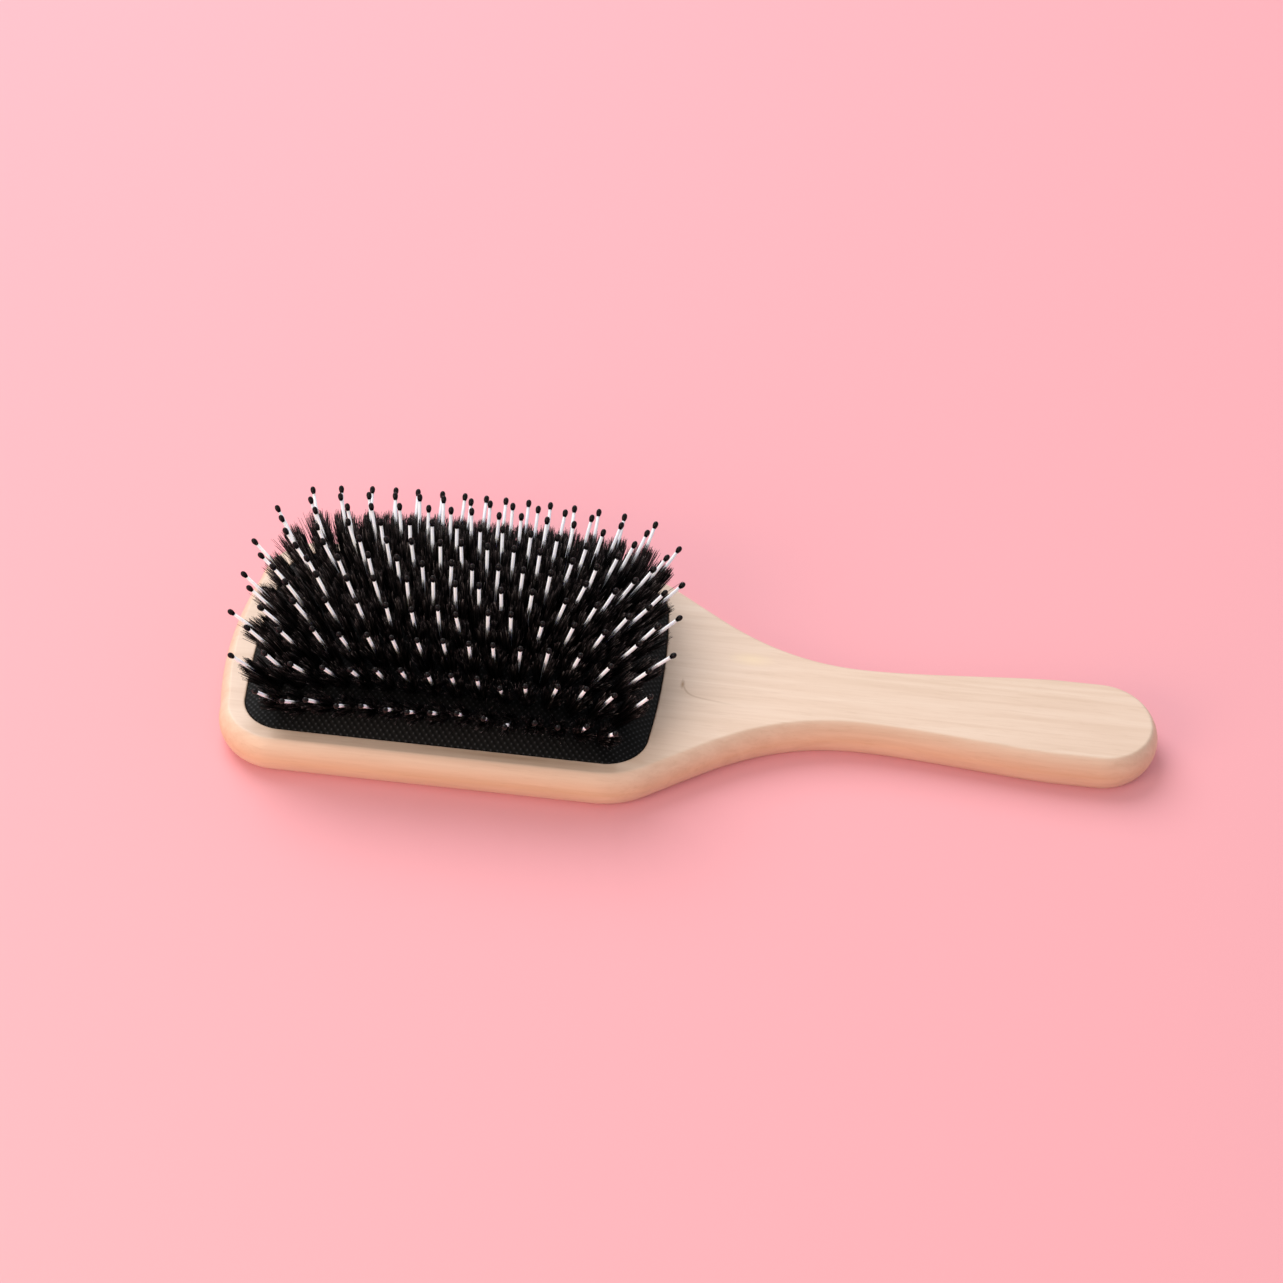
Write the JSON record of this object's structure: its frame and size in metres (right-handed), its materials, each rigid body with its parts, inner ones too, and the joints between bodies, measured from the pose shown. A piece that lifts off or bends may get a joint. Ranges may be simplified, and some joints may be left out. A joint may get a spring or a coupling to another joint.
{
  "type": "cushion paddle hairbrush",
  "caption": "Wooden paddle hairbrush with a springy domed cushion carrying staggered rows of bristle tufts round ball-tipped pins.",
  "frame": {"origin": "bottom centre of the whole brush as it lies on its flat back", "axes": "+X from the head to the handle end, +Z out of the pins, symmetric about Y"},
  "size_m": [0.2478, 0.0858, 0.0447],
  "materials": {
    "wood": "satin clear-lacquered pale maple, fine straight grain",
    "rubber_cloth": "matt black rubber with a fine woven face",
    "nylon": "glossy white nylon pins with black ball tips",
    "bristle": "black natural bristle, slightly glossy, brown at the tips"
  },
  "bodies": {
    "handle": {"wooden_body": "wood", "cushion": "rubber_cloth"},
    "row_06": {"pin_row_06": "nylon", "bristle_row_06": "bristle"},
    "row_05": {"pin_row_05": "nylon", "bristle_row_05": "bristle"},
    "row_07": {"pin_row_07": "nylon", "bristle_row_07": "bristle"},
    "row_04": {"pin_row_04": "nylon", "bristle_row_04": "bristle"},
    "row_08": {"pin_row_08": "nylon", "bristle_row_08": "bristle"},
    "row_03": {"pin_row_03": "nylon", "bristle_row_03": "bristle"},
    "row_09": {"pin_row_09": "nylon", "bristle_row_09": "bristle"},
    "row_02": {"pin_row_02": "nylon", "bristle_row_02": "bristle"},
    "row_10": {"pin_row_10": "nylon", "bristle_row_10": "bristle"},
    "row_01": {"pin_row_01": "nylon", "bristle_row_01": "bristle"},
    "row_11": {"pin_row_11": "nylon", "bristle_row_11": "bristle"}
  },
  "joints": [
    {"name": "row_06_press", "type": "slide", "parent": "handle", "child": "row_06", "axis": [0, 0, -1], "range_m": [0, 0.005], "stiffness_N_per_m": 300, "deforming": ["cushion"]},
    {"name": "row_05_press", "type": "slide", "parent": "handle", "child": "row_05", "axis": [0, 0, -1], "range_m": [0, 0.00494], "stiffness_N_per_m": 300},
    {"name": "row_07_press", "type": "slide", "parent": "handle", "child": "row_07", "axis": [0, 0, -1], "range_m": [0, 0.00494], "stiffness_N_per_m": 300},
    {"name": "row_04_press", "type": "slide", "parent": "handle", "child": "row_04", "axis": [0, 0, -1], "range_m": [0, 0.00466], "stiffness_N_per_m": 300},
    {"name": "row_08_press", "type": "slide", "parent": "handle", "child": "row_08", "axis": [0, 0, -1], "range_m": [0, 0.00466], "stiffness_N_per_m": 300},
    {"name": "row_03_press", "type": "slide", "parent": "handle", "child": "row_03", "axis": [0, 0, -1], "range_m": [0, 0.00411], "stiffness_N_per_m": 300},
    {"name": "row_09_press", "type": "slide", "parent": "handle", "child": "row_09", "axis": [0, 0, -1], "range_m": [0, 0.00411], "stiffness_N_per_m": 300},
    {"name": "row_02_press", "type": "slide", "parent": "handle", "child": "row_02", "axis": [0, 0, -1], "range_m": [0, 0.00321], "stiffness_N_per_m": 300},
    {"name": "row_10_press", "type": "slide", "parent": "handle", "child": "row_10", "axis": [0, 0, -1], "range_m": [0, 0.00321], "stiffness_N_per_m": 300},
    {"name": "row_01_press", "type": "slide", "parent": "handle", "child": "row_01", "axis": [0, 0, -1], "range_m": [0, 0.00195], "stiffness_N_per_m": 300},
    {"name": "row_11_press", "type": "slide", "parent": "handle", "child": "row_11", "axis": [0, 0, -1], "range_m": [0, 0.00195], "stiffness_N_per_m": 300}
  ],
  "couplings": [
    {"joint": "row_05_press", "follows": "row_06_press", "ratio": 0.987},
    {"joint": "row_07_press", "follows": "row_06_press", "ratio": 0.987},
    {"joint": "row_04_press", "follows": "row_06_press", "ratio": 0.932},
    {"joint": "row_08_press", "follows": "row_06_press", "ratio": 0.932},
    {"joint": "row_03_press", "follows": "row_06_press", "ratio": 0.821},
    {"joint": "row_09_press", "follows": "row_06_press", "ratio": 0.821},
    {"joint": "row_02_press", "follows": "row_06_press", "ratio": 0.643},
    {"joint": "row_10_press", "follows": "row_06_press", "ratio": 0.643},
    {"joint": "row_01_press", "follows": "row_06_press", "ratio": 0.39},
    {"joint": "row_11_press", "follows": "row_06_press", "ratio": 0.39}
  ]
}
